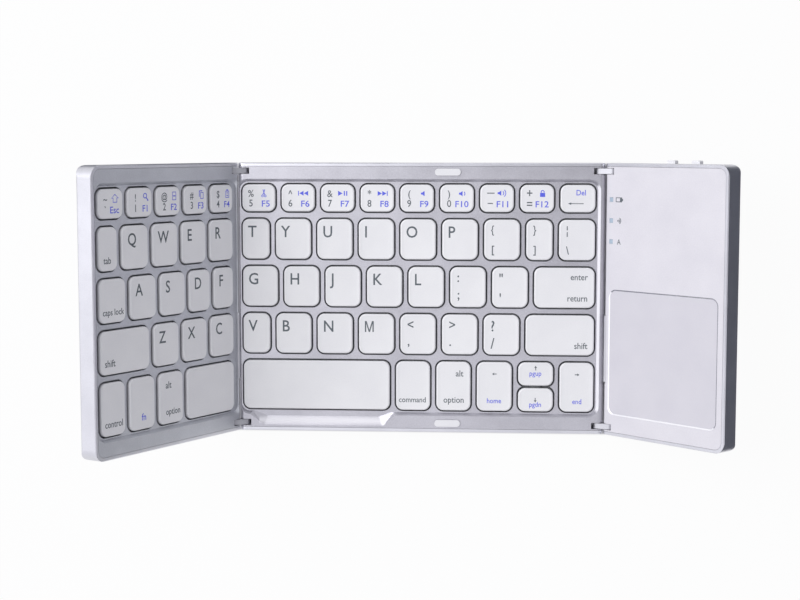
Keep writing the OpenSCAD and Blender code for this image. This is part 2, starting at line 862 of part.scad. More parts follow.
module keycap(x0, x1, y0, y1) {
  bevelled_slab(x0 + key_gap, x1 - key_gap, y0 + key_gap, y1 - key_gap,
    cap_under, cap_top, key_r, key_bevel);
  translate([(x0 + x1) / 2, (y0 + y1) / 2, stem_under])
    cylinder(h = cap_under - stem_under, r = stem_r);
}

// The keys first to last of one row
module keys(rows, field, start, i, first, last) {
  row = filled(rows[i], field);
  for (k = [first : last]) {
    x = start + key_left(row, k);
    color([0.93, 0.93, 0.94])
      keycap(x, x + row[k], row_back(i) - row_heights[i], row_back(i));
  }
}

module left_keys(i, first, last) {
  wing_pose(-1, left_fold)
    keys(left_rows, left_field, left_start, i, first, last);
}

module centre_keys(i, first, last) {
  keys(centre_rows, centre_field, centre_start, i, first, last);
}

// Upper (1) or lower (0) half of the split opening in the arrow block
module half_key(upper) {
  row = filled(centre_rows[bottom_row], centre_field);
  x = centre_start + key_left(row, split_key);
  back = row_back(bottom_row);
  front = back - bottom_h;
  inner = half_key_gap / 2 - key_gap;
  middle = (back + front) / 2;
  color([0.93, 0.93, 0.94])
    keycap(x, x + row[split_key], upper ? middle + inner : front, upper ? back : middle - inner);
}

// Hinge pins, links and ribbons

module centre_hinge_pins() {
  color([0.62, 0.62, 0.65])
    for (side = [-1, 1])
      at_seam(side * hinge_x, -side)
        pins(pin_r);
}

module left_hinge_pins() {
  color([0.62, 0.62, 0.65])
    wing_pose(-1, left_fold)
      mirror([1, 0, 0])
        pins(pin_r);
}

module right_hinge_pins() {
  color([0.62, 0.62, 0.65])
    wing_pose(1, right_fold)
      pins(pin_r);
}

module links() {
  for (side = [-1, 1])
    translate([0, side * link_y + link_t / 2, pivot_z])
      rotate([90, 0, 0])
        linear_extrude(link_t)
          difference() {
            union() {
              translate([-pivot_x, -link_r])
                square([2 * pivot_x, 2 * link_r]);
              for (x = [-pivot_x, pivot_x])
                translate([x, 0])
                  circle(link_r);
            }
            for (x = [-pivot_x, pivot_x])
              translate([x, 0])
                circle(pin_r + pin_play);
          }
}

// Middle stretch of the flat cable's sleeve, which stays midway between the two panels
module ribbon() {
  translate([0, -ribbon_y, pivot_z - ribbon_drop])
    rotate([90, 0, 0])
      cylinder(h = ribbon_w, r = ribbon_r, center = true);
}

module left_links() {
  color([0.72, 0.72, 0.75])
    link_pose(-1, left_fold)
      translate([-hinge_x, 0, 0])
        links();
}

module right_links() {
  color([0.72, 0.72, 0.75])
    link_pose(1, right_fold)
      translate([hinge_x, 0, 0])
        links();
}

module left_ribbon() {
  color([0.85, 0.85, 0.88])
    link_pose(-1, left_fold)
      translate([-hinge_x, 0, 0])
        ribbon();
}

module right_ribbon() {
  color([0.85, 0.85, 0.88])
    link_pose(1, right_fold)
      translate([hinge_x, 0, 0])
        ribbon();
}

// Feet, pads and screws

module feet(places) {
  for (at = places)
    translate([at[0], at[1], 0])
      cylinder(h = foot_h + seat_h, r = foot_r);
}

module screws(places) {
  for (at = places)
    translate([at[0], at[1], foot_h]) {
      cylinder(h = screw_head_h, r = screw_head_r);
      cylinder(h = screw_head_h + screw_l, r = screw_r);
    }
}

module bumper_pads() {
  color([0.92, 0.92, 0.93])
    pad_shape(0, rim_z - seat_h, rim_z + pad_h);
}

module centre_feet() {
  color([0.25, 0.25, 0.27])
    feet(centre_feet_at());
}

module left_feet() {
  color([0.25, 0.25, 0.27])
    wing_pose(-1, left_fold)
      mirror([1, 0, 0])
        feet(wing_feet_at(left_w));
}

module right_feet() {
  color([0.25, 0.25, 0.27])
    wing_pose(1, right_fold)
      feet(wing_feet_at(right_w));
}

module centre_screws() {
  color([0.50, 0.50, 0.52])
    screws(centre_screws_at());
}

module left_screws() {
  color([0.50, 0.50, 0.52])
    wing_pose(-1, left_fold)
      mirror([1, 0, 0])
        screws(wing_screws_at(left_w));
}

module right_screws() {
  color([0.50, 0.50, 0.52])
    wing_pose(1, right_fold)
      screws(wing_screws_at(right_w));
}

// Right wing: cover, touchpad, lights, board, battery, socket and controls

function led_at(i) = half_d - led_y - led_pitch * i;

module right_cover() {
  hole = led_w + 2 * led_gap;
  low = touch_bevel - touch_gap;
  color([0.90, 0.90, 0.93])
    wing_pose(1, right_fold)
      difference() {
        union() {
          translate([0, 0, cover_under])
            linear_extrude(cover_t)
              panel_plan(half_gap, right_w - wall_t - shell_gap, deck_half_d, 0.01, deck_outer_r);
          pin_blocks(rim_z);
          bosses(wing_screws_at(right_w), rim_z);
        }
        flared_slab(touch_x + touch_bevel, touch_x + touch_w - touch_bevel,
          touch_front + touch_bevel, touch_front + touch_d - touch_bevel,
          touch_z, touch_drop, touch_r, touch_bevel);
        translate([0, 0, cover_under - cut])
          linear_extrude(cover_t + cut - touch_drop + 0.01)
            rounded_rect(touch_x + low, touch_x + touch_w - low,
              touch_front + low, touch_front + touch_d - low, touch_r + touch_gap);
        for (i = [0 : 2])
          translate([led_x - hole / 2, led_at(i) - hole / 2, cover_under - cut])
            cube([hole, hole, cover_t + 2 * cut]);
        seam_cuts();
        boss_bores(wing_screws_at(right_w));
      }
}

module touchpad() {
  color([0.86, 0.86, 0.90])
    wing_pose(1, right_fold)
      translate([0, 0, cover_under])
        linear_extrude(touch_z - cover_under)
          rounded_rect(touch_x + touch_bevel, touch_x + touch_w - touch_bevel,
            touch_front + touch_bevel, touch_front + touch_d - touch_bevel, touch_r);
}

module touch_board() {
  color([0.15, 0.40, 0.25])
    wing_pose(1, right_fold)
      translate([touch_x + touch_bevel - touch_board_over, touch_front + touch_bevel
        - touch_board_over, cover_under - touch_board_t])
        cube([touch_w - 2 * touch_bevel + 2 * touch_board_over,
          touch_d - 2 * touch_bevel + 2 * touch_board_over, touch_board_t]);
}

module light_windows() {
  chip = board_top + chip_h;
  top = rim_z - 0.06;
  color([0.78, 0.86, 0.95])
    wing_pose(1, right_fold)
      for (i = [0 : 2])
        translate([led_x - led_w / 2, led_at(i) - led_w / 2, chip])
          cube([led_w, led_w, top - chip]);
}

// Board with its processor, the lights under the windows and the bodies of the two switches
module main_board() {
  chip_w = 6;
  strip_back = wall_in - strip_gap;
  switch_back = flange_y - switch_gap;
  button_back = switch_back - button_travel;
  switch_d = 2.8;
  switch_h = 1.9;
  post_r = 1;
  post_inset = 2;
  color([0.10, 0.35, 0.22])
    wing_pose(1, right_fold) {
      translate([board_x, board_back - board_d, board_z])
        cube([board_w, board_d, board_t]);
      translate([strip_x, board_back - cut, board_z])
        cube([strip_w, strip_back - board_back + cut, board_t]);
      translate([board_x + board_w / 2, board_back - board_d / 2, board_top])
        cube([chip_w, chip_w, chip_h]);
      for (i = [0 : 2])
        translate([led_x - led_w / 2, led_at(i) - led_w / 2, board_top])
          cube([led_w, led_w, chip_h]);
      translate([knob_x - knob_w, switch_back - switch_d, board_top])
        cube([2 * knob_w + knob_travel, switch_d, switch_h]);
      translate([button_x - button_w / 2, button_back - switch_d, board_top])
        cube([button_w, switch_d, switch_h]);
      for (x = [board_x + post_inset, board_x + board_w - post_inset],
        y = [board_back - post_inset, board_back - board_d + post_inset])
        translate([x, y, floor_z])
          cylinder(h = board_lift, r = post_r);
    }
}

module battery() {
  color([0.70, 0.70, 0.74])
    wing_pose(1, right_fold)
      translate([touch_x + (touch_w - battery_w) / 2, touch_front + (touch_d - battery_d) / 2,
        floor_z])
        cube([battery_w, battery_d, battery_t]);
}

// Folded sheet shell, open at the back, with the tongue inside it
module charging_socket() {
  y1 = half_d - 0.2;
  tongue_t = 0.6;
  inner_w = port_w - 2 * port_sheet;
  inner_h = port_h - 2 * port_sheet;
  color([0.72, 0.72, 0.72])
    wing_pose(1, right_fold)
      translate([port_x, y1 - port_d, board_top]) {
        difference() {
          translate([-port_w / 2, 0, 0])
            cube([port_w, port_d, port_h]);
          translate([-inner_w / 2, port_sheet, port_sheet])
            cube([inner_w, port_d, inner_h]);
        }
        translate([-inner_w / 3, 0, (port_h - tongue_t) / 2])
          cube([inner_w * 2 / 3, port_d * 0.8, tongue_t]);
      }
}

// A control that stands out of the back wall on a flange inside it
module control(x, w, over) {
  bevel = 0.3;
  translate([x - w / 2, flange_y, control_z - knob_h / 2])
    cube([w, half_d + knob_out - bevel - flange_y, knob_h]);
  translate([x - w / 2, half_d + knob_out - bevel, control_z - knob_h / 2])
    linear_extrude(knob_h)
      polygon([[0, 0], [w, 0], [w - bevel, bevel], [bevel, bevel]]);
  translate([x - w / 2 - over, flange_y, control_z - flange_h / 2])
    cube([w + 2 * over, flange_t, flange_h]);
}

module power_knob() {
  color([0.90, 0.90, 0.92])
    wing_pose(1, right_fold)
      control(knob_x, knob_w, knob_travel + 2 * knob_gap);
}

module pairing_button() {
  color([0.90, 0.90, 0.92])
    wing_pose(1, right_fold)
      control(button_x, button_w, flange_over);
}

centre_tray();
centre_deck();
centre_membrane();
centre_domes();
bumper_pads();
centre_feet();
centre_screws();
centre_hinge_pins();
left_tray();
left_deck();
left_membrane();
left_domes();
left_feet();
left_screws();
left_hinge_pins();
left_links();
left_ribbon();
right_tray();
right_cover();
touchpad();
touch_board();
main_board();
battery();
charging_socket();
light_windows();
right_feet();
right_screws();
right_hinge_pins();
right_links();
right_ribbon();
power_knob();
pairing_button();
left_keys(0, 0, 4);  // left_number_keys
left_keys(1, 0, 0);  // tab_key
left_keys(1, 1, 4);  // left_top_letter_keys
left_keys(2, 0, 0);  // caps_lock_key
left_keys(2, 1, 4);  // left_home_letter_keys
left_keys(3, 0, 0);  // left_shift_key
left_keys(3, 1, 3);  // left_bottom_letter_keys
left_keys(4, 0, 0);  // control_key
left_keys(4, 1, 1);  // function_key
left_keys(4, 2, 2);  // left_alt_key
left_keys(4, 3, 3);  // left_space_key
centre_keys(0, 0, 7);  // number_keys
centre_keys(0, 8, 8);  // backspace_key
centre_keys(1, 0, 5);  // top_letter_keys
centre_keys(1, 6, 8);  // bracket_keys
centre_keys(2, 0, 4);  // home_letter_keys
centre_keys(2, 5, 6);  // quote_keys
centre_keys(2, 7, 7);  // enter_key
centre_keys(3, 0, 3);  // bottom_letter_keys
centre_keys(3, 4, 6);  // comma_keys
centre_keys(3, 7, 7);  // right_shift_key
centre_keys(4, 0, 0);  // space_bar
centre_keys(4, 1, 1);  // command_key
centre_keys(4, 2, 2);  // right_alt_key
centre_keys(4, 3, 3);  // left_arrow_key
half_key(true);  // up_arrow_key
half_key(false);  // down_arrow_key
centre_keys(4, 5, 5);  // right_arrow_key
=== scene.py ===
import math

import bmesh
import bpy
from mathutils import Matrix, Vector


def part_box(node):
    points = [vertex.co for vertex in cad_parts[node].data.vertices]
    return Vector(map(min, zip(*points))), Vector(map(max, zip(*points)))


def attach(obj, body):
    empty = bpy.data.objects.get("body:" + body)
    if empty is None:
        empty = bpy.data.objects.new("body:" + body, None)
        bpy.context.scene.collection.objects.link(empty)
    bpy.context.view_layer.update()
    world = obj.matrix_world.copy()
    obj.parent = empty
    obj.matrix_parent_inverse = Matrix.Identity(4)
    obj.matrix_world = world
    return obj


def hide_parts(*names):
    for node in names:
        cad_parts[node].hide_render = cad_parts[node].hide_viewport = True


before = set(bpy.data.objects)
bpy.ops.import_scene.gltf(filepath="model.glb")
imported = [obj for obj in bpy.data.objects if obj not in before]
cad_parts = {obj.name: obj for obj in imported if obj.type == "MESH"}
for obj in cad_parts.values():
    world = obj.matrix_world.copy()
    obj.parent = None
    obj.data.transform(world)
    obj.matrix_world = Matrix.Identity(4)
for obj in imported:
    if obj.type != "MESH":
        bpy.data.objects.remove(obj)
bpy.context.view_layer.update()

# Camera
# A camera high above the keys, a little behind and to the right of their middle: it looks down and
# sees the outer walls of both raised wings. Its lens, place and turn were fitted to the corners of
# the panels and keys in the photograph.
camera = bpy.data.objects.new("camera", bpy.data.cameras.new("camera"))
bpy.context.scene.collection.objects.link(camera)
camera.data.sensor_width = 36
camera.data.lens = 73.285
camera.data.clip_start = 0.01
camera.location = (0.03304, 0.05712, 0.59184)
camera.rotation_euler = (math.radians(-5.63), math.radians(3.95), math.radians(0.01))
bpy.context.scene.camera = camera
bpy.context.scene.view_settings.view_transform = "Standard"

# Table, lamp and surroundings
# A white table and a wide soft lamp behind and to the left, as for a catalogue picture. Three grey
# felt boards stand round it, and only surfaces that mirror pick them up.
WHITE = "#FFFFFF"


def linear(code):
    """Linear colour of an sRGB hex code, with full alpha."""
    parts = [int(code[i:i + 2], 16) / 255 for i in (1, 3, 5)]
    return (*[c / 12.92 if c <= 0.04045 else ((c + 0.055) / 1.055) ** 2.4 for c in parts], 1.0)


def add(tree, kind, inputs=None, **settings):
    """Adds a node: settings are its properties, inputs its values or the sockets that feed them."""
    made = tree.nodes.new(kind)
    for name, value in settings.items():
        setattr(made, name, value)
    for name, value in (inputs or {}).items():
        if isinstance(value, bpy.types.NodeSocket):
            tree.links.new(value, made.inputs[name])
        else:
            made.inputs[name].default_value = value
    return made


def new_material(name):
    """A material without nodes, and its node tree."""
    material = bpy.data.materials.new(name)
    material.use_nodes = True
    material.node_tree.nodes.clear()
    return material, material.node_tree


def seen_directly(tree):
    """1 on camera, mirror and glass rays, and 0 on the rays that light things."""
    path = add(tree, "ShaderNodeLightPath")
    either = add(tree, "ShaderNodeMath", {0: path.outputs["Is Camera Ray"],
                                          1: path.outputs["Is Glossy Ray"]}, operation="MAXIMUM")
    return add(tree, "ShaderNodeMath", {0: either.outputs[0],
                                        1: path.outputs["Is Transmission Ray"]},
               operation="MAXIMUM").outputs[0]


table_half = 4.0
bm = bmesh.new()
bmesh.ops.create_grid(bm, x_segments=1, y_segments=1, size=table_half)
table_mesh = bpy.data.meshes.new("table")
bm.to_mesh(table_mesh)
bm.free()
table = bpy.data.objects.new("table", table_mesh)
bpy.context.scene.collection.objects.link(table)
# White laminate: the glow that only the camera and mirrors see keeps it as pale as the paper
# background of the photograph, and the rest of it still takes the object's soft shadow. Under the
# centre panel there is no glow, so the narrow seams beside it look dark.
patch_half = (0.072, 0.0497, 1.0)
patch_middle = (0.0, -0.0008, 0.0)
patch_edge = 0.985
glow_share = 0.95
laminate, tree = new_material("white_laminate")
white = add(tree, "ShaderNodeBsdfDiffuse", {"Color": linear("#DCDCE0")})
glow = add(tree, "ShaderNodeEmission", {"Color": linear(WHITE), "Strength": 1.0})
place = add(tree, "ShaderNodeTexCoord").outputs["Object"]
place = add(tree, "ShaderNodeVectorMath", {0: place, 1: patch_middle},
            operation="SUBTRACT").outputs[0]
place = add(tree, "ShaderNodeVectorMath", {0: place}, operation="ABSOLUTE").outputs[0]
reach = add(tree, "ShaderNodeVectorMath", {0: place, 1: patch_half},
            operation="DIVIDE").outputs[0]
parts = add(tree, "ShaderNodeSeparateXYZ", {"Vector": reach})
furthest = add(tree, "ShaderNodeMath", {0: parts.outputs["X"], 1: parts.outputs["Y"]},
               operation="MAXIMUM").outputs[0]
clear = add(tree, "ShaderNodeMapRange", {"Value": furthest, "From Min": patch_edge,
                                         "From Max": 1.0, "To Max": glow_share})
share = add(tree, "ShaderNodeMath", {0: seen_directly(tree), 1: clear.outputs["Result"]},
            operation="MULTIPLY")
mix = add(tree, "ShaderNodeMixShader", {0: share.outputs[0], 1: white.outputs[0],
                                        2: glow.outputs[0]})
add(tree, "ShaderNodeOutputMaterial", {"Surface": mix.outputs[0]})
table.data.materials.append(laminate)

# The surroundings are as pale as the photograph's background where they are seen or mirrored, and
# weaker as a light, so that the lamp still gives the panels their shade.
fill_light = 0.53
world = bpy.data.worlds.new("studio")
bpy.context.scene.world = world
world.use_nodes = True
world.node_tree.nodes.clear()
tree = world.node_tree
strength = add(tree, "ShaderNodeMapRange", {"Value": seen_directly(tree), "To Min": fill_light,
                                            "To Max": 1.0})
backdrop = add(tree, "ShaderNodeBackground", {"Color": linear("#FBFBFF"),
                                              "Strength": strength.outputs["Result"]})
add(tree, "ShaderNodeOutputWorld", {"Surface": backdrop.outputs[0]})

lamp_target = Vector((0, 0, 0.02))
lamp = bpy.data.objects.new("soft_lamp", bpy.data.lights.new("soft_lamp", "AREA"))
bpy.context.scene.collection.objects.link(lamp)
lamp.data.shape = "SQUARE"
lamp.data.size = 0.8
lamp.data.energy = 9.1
lamp.location = (-0.68, 0.34, 0.88)
lamp.rotation_euler = (lamp_target - lamp.location).to_track_quat("-Z", "Y").to_euler()

# One board lies on the table to the right and turns up at its far end, for the dark outer wall of
# the touchpad wing. One hangs over the back right corner, for the fall of tone on the deck, and one
# lies behind to the left, for the dark back edge of the left wing. Each has a middle, a width and
# depth, and the height of what is turned up.
boards = [((0.39, 0, 0.003), (0.52, 1.4), 0.45), ((0.36, 0.26, 0.80), (0.72, 0.64), 0),
          ((-0.16, 0.090, 0.003), (0.30, 0.07), 0)]
bm = bmesh.new()
for middle, (width, depth), rise in boards:
    made = bmesh.ops.create_grid(bm, x_segments=1, y_segments=1, size=0.5,
                                 matrix=Matrix.LocRotScale(Vector(middle), None,
                                                           (width, depth, 1)))
    if rise:
        edges = {edge for vert in made["verts"] for edge in vert.link_edges}
        far_edge = max(edges, key=lambda edge: edge.verts[0].co.x + edge.verts[1].co.x)
        raised = bmesh.ops.extrude_edge_only(bm, edges=[far_edge])["geom"]
        bmesh.ops.translate(bm, vec=(0, 0, rise),
                            verts=[v for v in raised if isinstance(v, bmesh.types.BMVert)])
boards_mesh = bpy.data.meshes.new("felt_boards")
bm.to_mesh(boards_mesh)
bm.free()
felt_boards = bpy.data.objects.new("felt_boards", boards_mesh)
bpy.context.scene.collection.objects.link(felt_boards)
felt_boards.visible_camera = False
felt_boards.visible_diffuse = False
felt_boards.visible_shadow = False
# Grey felt: no gloss at all, so it mirrors as one even dark grey.
felt, tree = new_material("grey_felt")
add(tree, "ShaderNodeOutputMaterial",
    {"Surface": add(tree, "ShaderNodeBsdfDiffuse", {"Color": linear("#62656D")}).outputs[0]})
felt_boards.data.materials.append(felt)

# Shells
# The lower trays of the three panels: pressed and machined aluminium, bead-blasted and clear
# anodised, with a soft shoulder round the top edge.

# Every surface has clouds 12 mm wide, and grain drawn at 0.2 to 1.5 mm, which is coarser than the
# real one where that is too fine to show. Noise stays near its middle value: noise_ends are the
# ends of one noise, and sum_ends those of two added up.
cloud_mm = 12
noise_ends = (0.3, 0.7)
sum_ends = (0.7, 1.3)


def surface(name, dark, light, grain_mm, relief_mm, rough, **fixed):
    """A material with fine grain in its relief and roughness and soft clouds in its colour."""
    material, tree = new_material(name)
    place = add(tree, "ShaderNodeTexCoord").outputs["Object"]
    grain = add(tree, "ShaderNodeTexNoise", {"Vector": place, "Scale": 1000 / grain_mm,
                                             "Detail": 2.0, "Roughness": 0.6}).outputs["Fac"]
    clouds = add(tree, "ShaderNodeTexNoise", {"Vector": place, "Scale": 1000 / cloud_mm})
    tones = add(tree, "ShaderNodeMath", {0: grain, 1: clouds.outputs["Fac"]}, operation="ADD")
    share = add(tree, "ShaderNodeMapRange", {"Value": tones.outputs[0], "From Min": sum_ends[0],
                                             "From Max": sum_ends[1]})
    colour = add(tree, "ShaderNodeMix", {"Factor": share.outputs["Result"], 6: linear(dark),
                                         7: linear(light)}, data_type="RGBA")
    matt = add(tree, "ShaderNodeMapRange", {"Value": grain, "From Min": noise_ends[0],
                                            "From Max": noise_ends[1], "To Min": rough[0],
                                            "To Max": rough[1]})
    relief = add(tree, "ShaderNodeBump", {"Height": grain, "Distance": relief_mm / 1000})
    inputs = {"Base Color": colour.outputs[2], "Roughness": matt.outputs["Result"],
              "Normal": relief.outputs["Normal"]}
    inputs.update({key.replace("_", " "): value for key, value in fixed.items()})
    shader = add(tree, "ShaderNodeBsdfPrincipled", inputs)
    add(tree, "ShaderNodeOutputMaterial", {"Surface": shader.outputs[0]})
    return material


def finish_node(names, material):
    """Gives CAD nodes their only material."""
    for name in names:
        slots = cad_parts[name].data.materials
        slots.clear()
        slots.append(material)


# Anodised aluminium: a blurred grey-white mirror. The blasting's grain is finer than the picture
# can show, so it is drawn at 0.3 mm.
anodised = surface("anodised_aluminium", "#CFCFD6", "#DCDCE3", 0.3, 0.003, (0.34, 0.42),
                   Metallic=1.0)
finish_node(["centre_tray", "left_tray", "right_tray"], anodised)

# Decks and cover
# The upper halves, moulded in ABS and sprayed: the key decks with silver lacquer, the touchpad
# wing's cover in a paler pearl. They drop into the trays and are screwed from below.

# Silver lacquer: fine metal flakes in a clear coat, a grey that turns paler towards the lamp.
flake_share = 0.68
silver_lacquer = surface("silver_lacquer", "#B6B5BD", "#C8C7CF", 0.35, 0.004, (0.36, 0.46),
                         Metallic=flake_share)
finish_node(["centre_deck"], silver_lacquer)
# Painted light: a paler, cooler copy of the lacquer lifts the shade on the wing's deck and tints
# it.
wing_lacquer_painted_light = surface("silver_lacquer_painted_light", "#C1C3CA", "#D2D4DB", 0.35, 0.004, (0.36, 0.46),
                       Metallic=0.66)
finish_node(["left_deck"], wing_lacquer_painted_light)

# Painted highlights: on the slope at the right end of the key field and along the front of the
# thumb scoop the lacquer is painted near white and without metal, two pale lines that stand in for
# the lamp's highlight. The slope is found by its normal, slope_way, beyond slope_start, and the
# scoop by its place in front of the space bar, in metres.
painted_highlight_colour = "#F6F5FB"
slope_way = (-0.79, 0, 0.61)
slope_facing = (0.86, 0.96)
slope_start = 0.060
scoop_x0, scoop_x1 = -0.0590, -0.0125
scoop_ahead = 0.0042
scoop_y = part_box("space_bar")[0][1] - scoop_ahead
scoop_half = 0.0018
scoop_highlight_share = 0.8
tree = silver_lacquer.node_tree
shader = next(node for node in tree.nodes if node.type == "BSDF_PRINCIPLED")
place = add(tree, "ShaderNodeTexCoord")
turned = add(tree, "ShaderNodeVectorMath", {0: place.outputs["Normal"], 1: slope_way},
             operation="DOT_PRODUCT").outputs["Value"]
facing = add(tree, "ShaderNodeMapRange", {"Value": turned, "From Min": slope_facing[0],
                                          "From Max": slope_facing[1]}).outputs["Result"]
where = add(tree, "ShaderNodeSeparateXYZ", {"Vector": place.outputs["Object"]}).outputs
beyond = add(tree, "ShaderNodeMath", {0: where["X"], 1: slope_start}, operation="GREATER_THAN")
slope = add(tree, "ShaderNodeMath", {0: facing, 1: beyond.outputs[0]}, operation="MULTIPLY")
aside = add(tree, "ShaderNodeMath", {0: where["X"], 1: (scoop_x0 + scoop_x1) / 2,
                                     2: (scoop_x1 - scoop_x0) / 2}, operation="COMPARE")
ahead = add(tree, "ShaderNodeMath", {0: where["Y"], 1: scoop_y}, operation="SUBTRACT")
off = add(tree, "ShaderNodeMath", {0: ahead.outputs[0]}, operation="ABSOLUTE")
scoop_highlight_band = add(tree, "ShaderNodeMapRange", {"Value": off.outputs[0], "From Max": scoop_half,
                                        "To Min": scoop_highlight_share, "To Max": 0.0},
           interpolation_type="SMOOTHSTEP")
scoop = add(tree, "ShaderNodeMath", {0: aside.outputs[0], 1: scoop_highlight_band.outputs["Result"]},
            operation="MULTIPLY")
thin = add(tree, "ShaderNodeMath", {0: slope.outputs[0], 1: scoop.outputs[0]},
           operation="MAXIMUM").outputs[0]
# Painted highlight: where the mask is set, the colour turns near white and the metal is taken out.
coat = add(tree, "ShaderNodeMix", {"Factor": thin, 7: linear(painted_highlight_colour)}, data_type="RGBA")
tree.links.new(shader.inputs["Base Color"].links[0].from_socket, coat.inputs[6])
tree.links.new(coat.outputs[2], shader.inputs["Base Color"])
flakes = add(tree, "ShaderNodeMapRange", {"Value": thin, "To Min": flake_share, "To Max": 0.0})
tree.links.new(flakes.outputs["Result"], shader.inputs["Metallic"])

# Pearl lacquer: no flakes that show, a smooth pale coat with a faint violet tinge.
pearl_lacquer = surface("pearl_lacquer", "#D9D7DF", "#E2E0E7", 0.35, 0.004, (0.40, 0.50))
finish_node(["right_cover"], pearl_lacquer)

# Keycaps
# Moulded in white ABS with a satin finish. Each cap has a rounded upper edge and a faint dish for
# the fingertip, and a round stem below that presses its rubber dome.

# From here on sizes are in mm on a flat panel. A raised wing is turned by half its fold about each
# of the two pins in its seam.
hinge_x = 66.5
pivot_x = 2.3
pivot_z = 5.55
folds = {"left": 60.8, "right": 43.7}
weld = 0.002


def panel_place(side):
    """Places what is written in mm for a flat panel: on a raised wing or on the centre panel."""
    scale = Matrix.Scale(0.001, 4)
    if side == "centre":
        return scale
    sign = -1 if side == "left" else 1
    half = Matrix.Rotation(math.radians(-sign * folds[side] / 2), 4, "Y")
    inner = Matrix.Translation((sign * (hinge_x - pivot_x), 0, pivot_z))
    link = Matrix.Translation((sign * 2 * pivot_x, 0, 0))
    return scale @ inner @ half @ link @ half @ Matrix.Translation((-sign * pivot_x, 0, -pivot_z))


def solids_of(node, place):
    """Lowest and highest x, y and z of each solid of a CAD node, in mm on its flat panel."""
    bm = bmesh.new()
    bm.from_mesh(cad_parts[node].data)
    bm.transform(place.inverted())
    bmesh.ops.remove_doubles(bm, verts=bm.verts, dist=weld)
    found, unseen = [], set(bm.verts)
    while unseen:
        solid, frontier = [], [unseen.pop()]
        while frontier:
            vert = frontier.pop()
            solid.append(vert.co.copy())
            near = {edge.other_vert(vert) for edge in vert.link_edges} & unseen
            unseen -= near
            frontier.extend(near)
        found.append([(min(c[i] for c in solid), max(c[i] for c in solid)) for i in range(3)])
    bm.free()
    return sorted(found)


def piece(name, bm, place, material, body, merge=0.0005):
    """Turns a mesh written in mm into a finished object that rides on a body."""
    bmesh.ops.remove_doubles(bm, verts=bm.verts, dist=merge)
    bm.transform(place)
    bmesh.ops.recalc_face_normals(bm, faces=bm.faces)
    mesh = bpy.data.meshes.new(name)
    bm.to_mesh(mesh)
    bm.free()
    made = bpy.data.objects.new(name, mesh)
    bpy.context.scene.collection.objects.link(made)
    made.data.materials.append(material)
    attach(made, body)
    return made


# Steps are those of a rounding. A face whose normal is as upright as level isn't shaded smooth.
cap_t = 1.8
cap_r = 2.5
cap_edge_r = 0.5
corner_steps = 7
edge_steps = 4
dish_depth = 0.1
dish_rings = [(0.25, 0.04), (0.3, 0.08), (0.3, dish_depth)]
level = 0.999
stem_r = 1.8
stem_steps = 24


def keycap(whole, box):
    """Adds a keycap with a rounded edge and a faint dish, on its stem."""
    (x0, x1), (y0, y1), (z0, top) = box
    middle = Vector(((x0 + x1) / 2, (y0 + y1) / 2, top - cap_t / 2))
    bm = bmesh.new()
    bmesh.ops.create_cube(bm, size=1, matrix=Matrix.LocRotScale(middle, None,
                                                                (x1 - x0, y1 - y0, cap_t)))
    uprights = [e for e in bm.edges if abs(e.verts[0].co.z - e.verts[1].co.z) > cap_t / 2]
    bmesh.ops.bevel(bm, geom=uprights, offset=cap_r, segments=corner_steps, profile=0.5,
                    affect="EDGES", material=-1)
    face = max(bm.faces, key=lambda f: f.calc_center_median().z)
    bmesh.ops.bevel(bm, geom=face.edges, offset=cap_edge_r, segments=edge_steps, profile=0.5,
                    affect="EDGES", material=-1)
    face = max(bm.faces, key=lambda f: f.calc_center_median().z)
    sunk = 0.0
    for width, depth in dish_rings:
        bmesh.ops.inset_individual(bm, faces=[face], thickness=width, depth=0)
        bmesh.ops.translate(bm, vec=(0, 0, sunk - depth), verts=face.verts)
        sunk = depth
    for side in bm.faces:
        raised = side.calc_center_median().z > top - cap_edge_r
        side.smooth = raised or abs(side.normal.z) < level
    stem_top = top - cap_t
    stem_place = Matrix.Translation((middle.x, middle.y, (stem_top + z0) / 2))
    bmesh.ops.create_cone(bm, segments=stem_steps, radius1=stem_r, radius2=stem_r,
                          depth=stem_top - z0, cap_ends=True, matrix=stem_place)
    mesh = bpy.data.meshes.new("cap")
    bm.to_mesh(mesh)
    bm.free()
    whole.from_mesh(mesh)
    bpy.data.meshes.remove(mesh)


# ABS with a fine moulded satin, which gives the white a soft, broad gloss.
satin_abs = surface("satin_white_abs", "#E9E9ED", "#F0F0F3", 0.30, 0.002, (0.34, 0.44))

key_rows = {
    "left": ["left_number_keys", "tab_key", "left_top_letter_keys", "caps_lock_key",
             "left_home_letter_keys", "left_shift_key", "left_bottom_letter_keys", "control_key",
             "function_key", "left_alt_key", "left_space_key"],
    "centre": ["number_keys", "backspace_key", "top_letter_keys", "bracket_keys",
               "home_letter_keys", "quote_keys", "enter_key", "bottom_letter_keys", "comma_keys",
               "right_shift_key", "space_bar", "command_key", "right_alt_key", "left_arrow_key",
               "up_arrow_key", "down_arrow_key", "right_arrow_key"],
}
cap_boxes = {}
for side, nodes in key_rows.items():
    for node in nodes:
        cap_boxes[node] = solids_of(node, panel_place(side))
        whole = bmesh.new()
        for box in cap_boxes[node]:
            keycap(whole, box)
        caps = piece(node + "_caps", whole, panel_place(side), satin_abs, node + "_body")
        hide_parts(node)

# Printing on the keys
# Screen-printed ink, 0.02 mm thick: slate for what a key types and blue for what it does together
# with the function key. It lies on the flat middle of each cap's dish.

# A film's middle stands ink_rise above the plastic, so that its underside is just inside. Capitals
# are font_caps of the font's size tall, and words are set narrower and a little bolder than it.
ink_t = 0.02
ink_rise = 0.4 * ink_t
ink_grain_mm = 0.5
ink_wear = 0.12
font_caps = 0.682
narrow = 0.90
bolder = 0.009


